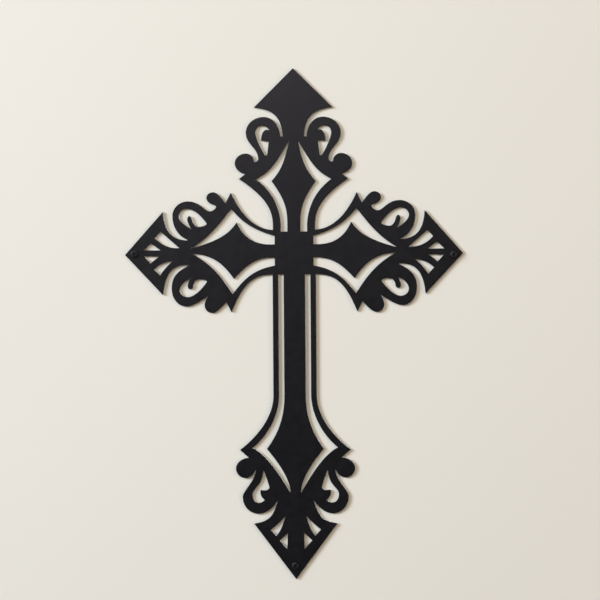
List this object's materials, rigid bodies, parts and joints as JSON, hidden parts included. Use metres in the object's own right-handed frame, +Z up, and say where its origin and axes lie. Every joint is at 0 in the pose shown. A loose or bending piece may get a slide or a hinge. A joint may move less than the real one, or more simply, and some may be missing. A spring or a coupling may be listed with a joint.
{
  "type": "wall cross",
  "caption": "Flat ornamental wall cross cut from black sheet steel, with pointed scrolled ends and pierced arms, fixed by pan-head screws.",
  "frame": {"origin": "middle of the crossing, on the back face of the plate where it lies against the wall", "axes": "+Z up the long arm's axis to the top point, +Y into the wall, so the front faces -Y, and +X to the viewer's right"},
  "size_m": [0.298, 0.0269, 0.4503],
  "materials": {
    "black_coat": "satin black powder coat",
    "black_screw": "black coated steel, slightly glossier than the plate"
  },
  "bodies": {
    "root": {"cross_plate": "black_coat", "screw_left": "black_screw", "screw_right": "black_screw", "screw_bottom": "black_screw"}
  },
  "joints": []
}
